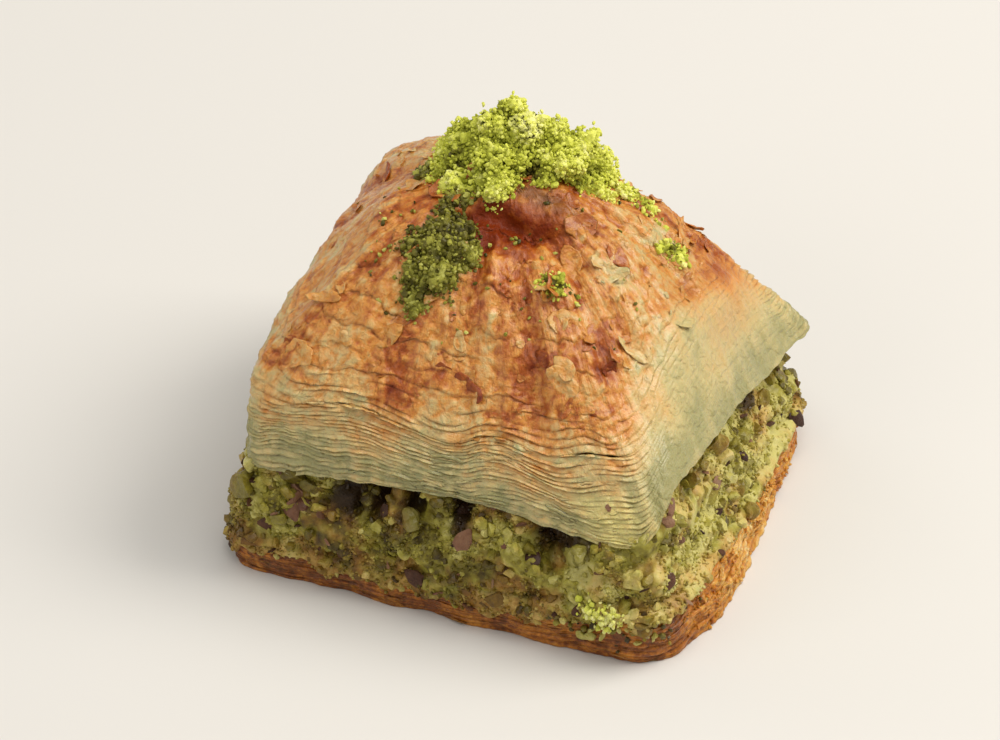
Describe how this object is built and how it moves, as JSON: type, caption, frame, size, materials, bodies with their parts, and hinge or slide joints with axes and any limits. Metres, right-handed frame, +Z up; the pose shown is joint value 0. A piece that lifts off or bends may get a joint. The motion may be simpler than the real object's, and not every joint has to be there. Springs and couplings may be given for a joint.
{
  "type": "baklava piece",
  "caption": "Square-cut piece of pistachio baklava: soaked pastry foot, thick nut layer, puffed and browned layered top, and a heap of green crumbs on its crown.",
  "frame": {"origin": "on the plate, under the middle of the piece's box", "axes": "+Z up, the front cut faces -Y and the right-hand cut faces +X"},
  "size_m": [0.057, 0.0514, 0.049],
  "materials": {
    "base_pastry": "syrup-soaked pastry, amber, glossy",
    "pistachio_filling": "moist ground pistachio, olive to yellow-green with darker skins",
    "top_pastry": "crisp buttered pastry sheets, browned on the crown and pale at the cut edges",
    "pistachio_crumbs": "dry fine pistachio crumbs, bright yellow-green"
  },
  "bodies": {
    "root": {"base_pastry": "base_pastry", "pistachio_filling": "pistachio_filling", "top_pastry": "top_pastry", "pistachio_crumbs": "pistachio_crumbs"}
  },
  "joints": []
}
